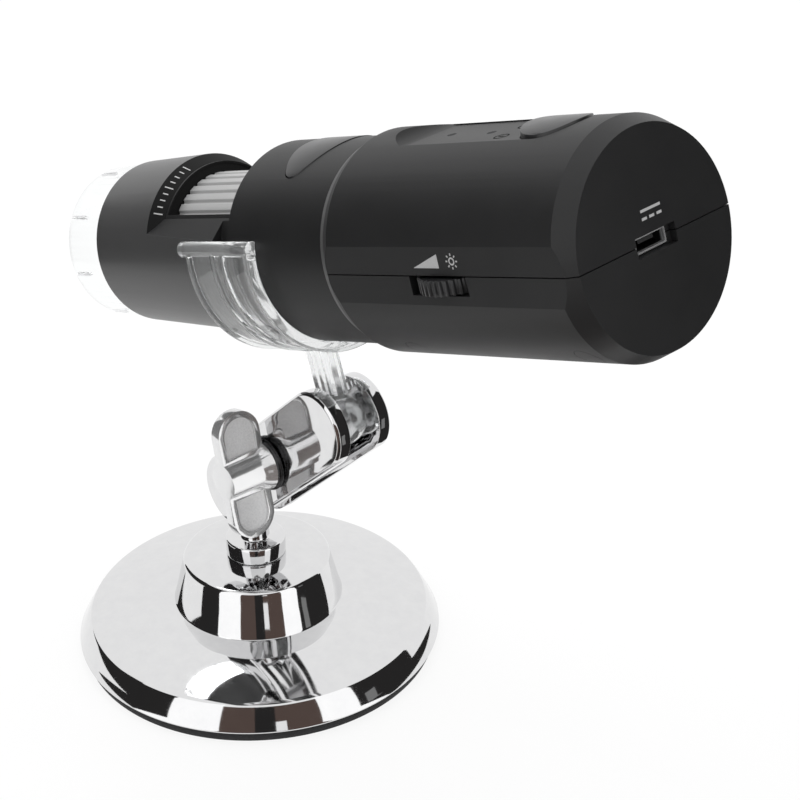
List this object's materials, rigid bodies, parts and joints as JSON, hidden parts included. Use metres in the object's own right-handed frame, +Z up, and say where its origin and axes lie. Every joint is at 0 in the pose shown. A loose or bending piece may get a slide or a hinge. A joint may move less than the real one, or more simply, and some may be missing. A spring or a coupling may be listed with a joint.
{
  "type": "usb digital microscope",
  "caption": "Hand-held digital microscope tube with a focus wheel and a clear lens cap, clipped in a cradle on a plated round base with a double ball-joint clamp arm.",
  "frame": {"origin": "middle of the stand's underside, on the table", "axes": "+Z up, +X along the tube's level direction towards its rear end with the socket, -Y towards the wing nut and the light dial"},
  "size_m": [0.1509, 0.0786, 0.1488],
  "materials": {
    "plated": "bright polished plating on cast and turned metal",
    "hardware": "plain bright steel",
    "pad": "soft black pad with a fine grain",
    "clear": "clear moulded plastic",
    "body_black": "fine-grained satin black moulding",
    "key_black": "smooth satin black moulding",
    "wheel_grey": "matt light grey moulding with axial ribs",
    "inner_black": "matt black moulding",
    "lens_glass": "coated optical glass",
    "board_green": "green solder mask",
    "board_white": "white solder mask",
    "lamp_yellow": "moulded lamp with a phosphor face",
    "flex_amber": "amber film",
    "battery_foil": "dull foil pouch"
  },
  "bodies": {
    "stand": {"base_plate": "plated", "base_pad": "pad"},
    "post": {"ball_stud": "plated", "stud_nut": "hardware"},
    "arm": {"clamp_jaw_front": "plated", "clamp_jaw_rear": "plated", "clamp_screw": "hardware", "clamp_washer": "hardware"},
    "wing": {"wing_nut": "plated"},
    "cradle": {"cradle": "clear"},
    "tube": {"upper_shell": "body_black", "lower_shell": "body_black", "front_collar": "body_black", "lens_barrel": "body_black", "guide_rods": "hardware", "light_ring_board": "board_white", "ring_lamps": "lamp_yellow", "sensor_board": "board_green", "image_sensor": "lens_glass", "sensor_screws": "hardware", "sensor_flex": "flex_amber", "main_board": "board_green", "board_chips": "inner_black", "battery": "battery_foil", "micro_socket": "hardware", "dial_pot": "inner_black", "key_board": "board_green", "power_switch": "inner_black", "snap_switch": "inner_black", "status_lamps": "lamp_yellow", "light_pipes": "clear", "case_screws": "hardware", "screw_plugs": "key_black", "key_board_screws": "hardware"},
    "cap": {"front_cap": "clear"},
    "focus": {"focus_wheel": "wheel_grey"},
    "lens": {"lens_carriage": "inner_black", "objective_lens": "lens_glass"},
    "dial": {"light_dial": "key_black"},
    "power_key": {"power_button": "key_black"},
    "snap_key": {"snap_button": "key_black"}
  },
  "joints": [
    {"name": "post_swivel", "type": "hinge", "parent": "stand", "child": "post", "pos_m": [0, 0, 0], "axis": [0, 0, 1], "continuous": true},
    {"name": "arm_tilt", "type": "hinge", "parent": "post", "child": "arm", "pos_m": [0, 0, 0.039], "axis": [-0.0802, -0.9968, 0], "range_deg": [-25, 45]},
    {"name": "wing_turn", "type": "hinge", "parent": "arm", "child": "wing", "pos_m": [0.01531, -0.00123, 0.05317], "axis": [-0.0802, -0.9968, 0], "continuous": true},
    {"name": "cradle_tilt", "type": "hinge", "parent": "arm", "child": "cradle", "pos_m": [0.03062, -0.00246, 0.06735], "axis": [-0.0802, -0.9968, 0], "range_deg": [-30, 25]},
    {"name": "tube_roll", "type": "hinge", "parent": "cradle", "child": "tube", "pos_m": [0.04983, -0.00246, 0.11246], "axis": [0.9494, 0, 0.314], "range_deg": [-180, 180]},
    {"name": "cap_pull", "type": "slide", "parent": "tube", "child": "cap", "axis": [-0.9494, 0, -0.314], "range_m": [0, 0.016]},
    {"name": "focus_turn", "type": "hinge", "parent": "tube", "child": "focus", "pos_m": [0.04983, -0.00246, 0.11246], "axis": [0.9494, 0, 0.314], "range_deg": [-135, 135]},
    {"name": "lens_slide", "type": "slide", "parent": "tube", "child": "lens", "axis": [0.9494, 0, 0.314], "range_m": [-0.0025, 0.0025]},
    {"name": "light_dial_turn", "type": "hinge", "parent": "tube", "child": "dial", "pos_m": [0.07677, -0.01551, 0.11953], "axis": [-0.314, 0, 0.9494], "range_deg": [-135, 135]},
    {"name": "power_press", "type": "slide", "parent": "tube", "child": "power_key", "axis": [0.314, 0, -0.9494], "range_m": [0, 0.0006], "stiffness_N_per_m": 2000},
    {"name": "snap_press", "type": "slide", "parent": "tube", "child": "snap_key", "axis": [0.314, 0, -0.9494], "range_m": [0, 0.0005], "stiffness_N_per_m": 2000}
  ],
  "couplings": [
    {"joint": "lens_slide", "follows": "focus_turn", "m_per_rad": 0.00106}
  ]
}
